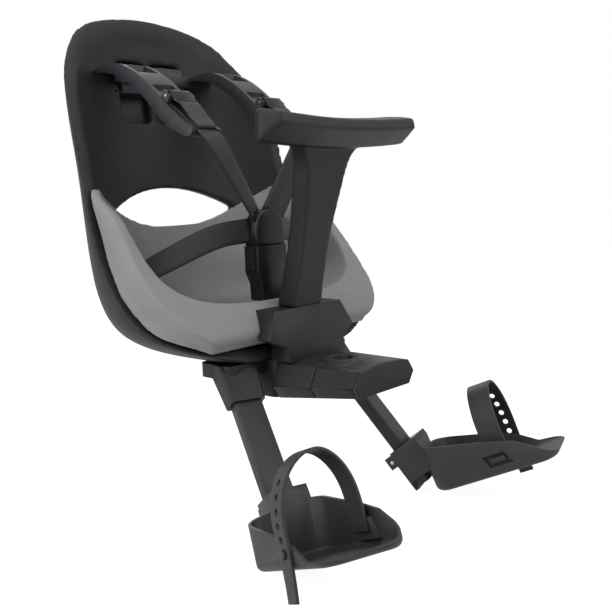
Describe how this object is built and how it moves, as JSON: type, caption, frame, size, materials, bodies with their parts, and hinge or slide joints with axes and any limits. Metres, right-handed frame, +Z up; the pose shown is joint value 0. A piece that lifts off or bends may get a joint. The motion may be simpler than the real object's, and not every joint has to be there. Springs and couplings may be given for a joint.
{
  "type": "kids handlebar bike seat",
  "caption": "Front-mounted child bike seat with a bucket shell, foam pad, harness, grab bar, sliding footrests with straps and a clamp for the handlebar stem.",
  "frame": {"origin": "on the axis of the stem bore, half way along it", "axes": "+Z up along the stem bore, -Y the way the child and the bike face, +X the child's left"},
  "size_m": [0.394, 0.4708, 0.5292],
  "materials": {
    "shell": "matte charcoal moulding",
    "pad": "mid-grey closed-cell foam",
    "frame": "fine-grained charcoal moulding",
    "guide": "satin dark grey moulding",
    "trim": "smooth black moulding",
    "webbing": "woven black webbing",
    "strap": "flexible dark grey strap",
    "tube": "powder-coated charcoal tube",
    "steel": "zinc-plated fastener"
  },
  "bodies": {
    "seat": {"seat_shell": "shell", "seat_pad": "pad", "back_screws": "steel", "clamp_rear": "frame", "clamp_front": "frame", "clamp_cap": "frame", "reducer_rear": "frame", "reducer_front": "frame", "clamp_bolts": "steel", "clamp_nuts": "steel", "front_column": "frame", "grab_handle": "frame", "handle_bolt": "steel", "seat_carrier": "frame", "shell_screws": "steel", "column_screws": "steel", "leg_tube_left": "tube", "leg_tube_right": "tube", "leg_plug_left": "frame", "leg_plug_right": "frame", "shoulder_strap_left": "webbing", "shoulder_strap_right": "webbing", "hip_strap_left": "webbing", "hip_strap_right": "webbing", "buckle_tongue": "trim", "buckle_housing": "trim", "crotch_strap": "webbing", "strap_anchor": "steel"},
    "foot_left": {"foot_tray_left": "frame", "lever_pin_left": "steel", "foot_strap_left": "strap"},
    "foot_catch_left": {"foot_lever_left": "trim"},
    "foot_right": {"foot_tray_right": "frame", "lever_pin_right": "steel", "foot_strap_right": "strap"},
    "foot_catch_right": {"foot_lever_right": "trim"},
    "harness": {"shoulder_guide_left": "guide", "shoulder_guide_right": "guide", "harness_slider": "frame", "slider_screws": "steel", "adjuster_pin_left": "steel", "adjuster_pin_right": "steel"},
    "adjuster_left": {"adjuster_lever_left": "trim"},
    "adjuster_right": {"adjuster_lever_right": "trim"},
    "button_left": {"release_button_left": "trim"},
    "button_right": {"release_button_right": "trim"}
  },
  "joints": [
    {"name": "foot_height_left", "type": "slide", "parent": "seat", "child": "foot_left", "axis": [-0.1945, 0.5985, 0.7771], "range_m": [0, 0.06]},
    {"name": "foot_lever_left", "type": "hinge", "parent": "foot_left", "child": "foot_catch_left", "pos_m": [0.09687, 0.00568, -0.11908], "axis": [0.9511, 0.309, 0], "range_deg": [0, 100]},
    {"name": "foot_height_right", "type": "slide", "parent": "seat", "child": "foot_right", "axis": [0.1945, 0.5985, 0.7771], "range_m": [0, 0.06]},
    {"name": "foot_lever_right", "type": "hinge", "parent": "foot_right", "child": "foot_catch_right", "pos_m": [-0.09687, 0.00568, -0.11908], "axis": [0.9511, -0.309, 0], "range_deg": [0, 100]},
    {"name": "harness_height", "type": "slide", "parent": "seat", "child": "harness", "axis": [0, 0.1495, 0.9888], "range_m": [-0.028, 0], "deforming": ["shoulder_strap_left", "shoulder_strap_right"]},
    {"name": "adjuster_left", "type": "hinge", "parent": "harness", "child": "adjuster_left", "pos_m": [0.067, 0.15016, 0.27903], "axis": [-1, 0, 0], "range_deg": [0, 40]},
    {"name": "adjuster_right", "type": "hinge", "parent": "harness", "child": "adjuster_right", "pos_m": [-0.067, 0.15016, 0.27903], "axis": [-1, 0, 0], "range_deg": [0, 40]},
    {"name": "release_left", "type": "slide", "parent": "seat", "child": "button_left", "axis": [-1, 0, 0], "range_m": [0, 0.003], "stiffness_N_per_m": 400},
    {"name": "release_right", "type": "slide", "parent": "seat", "child": "button_right", "axis": [1, 0, 0], "range_m": [0, 0.003], "stiffness_N_per_m": 400}
  ]
}
